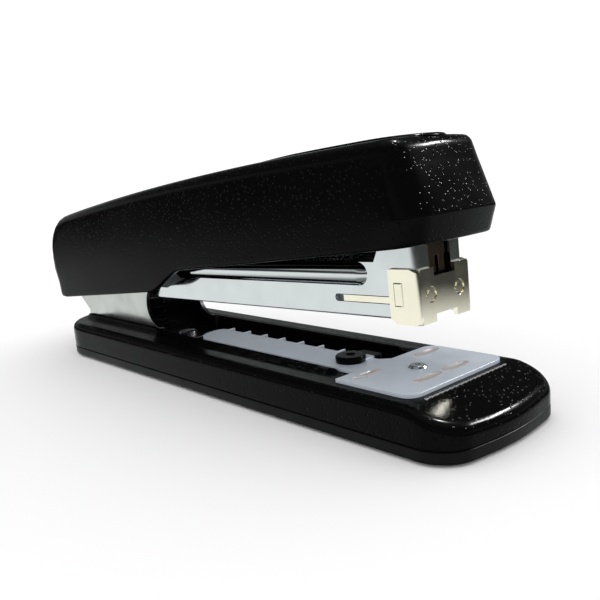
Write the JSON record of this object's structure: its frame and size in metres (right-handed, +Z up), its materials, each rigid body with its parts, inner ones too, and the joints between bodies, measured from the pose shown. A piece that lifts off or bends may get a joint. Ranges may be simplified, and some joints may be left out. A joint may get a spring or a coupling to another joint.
{
  "type": "stapler",
  "caption": "Long-bodied desk stapler with a black covered handle, a bright steel magazine with a nickel head, an anvil plate with a depth scale, and a sliding paper stop.",
  "frame": {"origin": "on the desk plane, below the middle of the whole stapler's length and width", "axes": "+X towards the stapling end, +Y to the stapler's left when it faces forwards (the far side in the picture), +Z up from the desk"},
  "size_m": [0.1699, 0.038, 0.0583],
  "materials": {
    "gloss_black": "glossy black moulding with a very fine grain",
    "tray_black": "satin black moulding",
    "matte_black": "matt black moulding",
    "rubber": "matt black sheet rubber",
    "chrome": "bright plated steel",
    "nickel": "warm nickel plating, polished",
    "satin_steel": "satin plated steel sheet",
    "dark_steel": "dark oiled steel",
    "spring_steel": "bright spring steel",
    "zinc": "zinc plated",
    "bronze": "dark bronze"
  },
  "bodies": {
    "base": {"base_shell": "gloss_black", "base_tray": "tray_black", "anti_slip_pad": "rubber", "tray_screws": "zinc", "base_frame": "satin_steel", "frame_screws": "zinc", "anvil_plate": "satin_steel", "anvil_rivet": "chrome", "pivot_pin": "chrome", "pin_clips": "zinc", "return_spring": "spring_steel"},
    "depth_stop": {"depth_stop_knob": "gloss_black", "depth_stop_clip": "dark_steel"},
    "magazine": {"magazine_channel": "chrome", "staple_rail": "satin_steel", "rail_rivets": "zinc", "staple_head": "nickel", "guide_rod": "chrome", "rear_rod_bracket": "satin_steel", "front_rod_bracket": "satin_steel", "pusher_spring": "spring_steel"},
    "pusher": {"staple_pusher": "matte_black"},
    "handle": {"handle_frame": "dark_steel", "handle_cover": "gloss_black", "cover_inlay": "gloss_black", "cover_screws": "zinc", "handle_spring": "spring_steel", "spring_rivet": "zinc", "driver_bracket": "dark_steel", "driver_blade": "dark_steel", "driver_clip": "bronze", "driver_rivets": "zinc"}
  },
  "joints": [
    {"name": "magazine_swing", "type": "hinge", "parent": "base", "child": "magazine", "pos_m": [-0.068, 0, 0.028], "axis": [0, -1, 0], "range_deg": [-4.57, 0], "stiffness_Nm_per_rad": 5, "springref_deg": 2.86, "deforming": ["return_spring"]},
    {"name": "handle_swing", "type": "hinge", "parent": "magazine", "child": "handle", "pos_m": [-0.068, 0, 0.028], "axis": [0, -1, 0], "range_deg": [-3.2, 80], "stiffness_Nm_per_rad": 2, "deforming": ["handle_spring"]},
    {"name": "pusher_slide", "type": "slide", "parent": "magazine", "child": "pusher", "axis": [0.9993, 0, 0.0372], "range_m": [-0.04, 0], "stiffness_N_per_m": 30, "springref_m": 0.03, "deforming": ["pusher_spring"]},
    {"name": "depth_stop_slide", "type": "slide", "parent": "base", "child": "depth_stop", "axis": [-1, 0, 0], "range_m": [0, 0.045]}
  ]
}
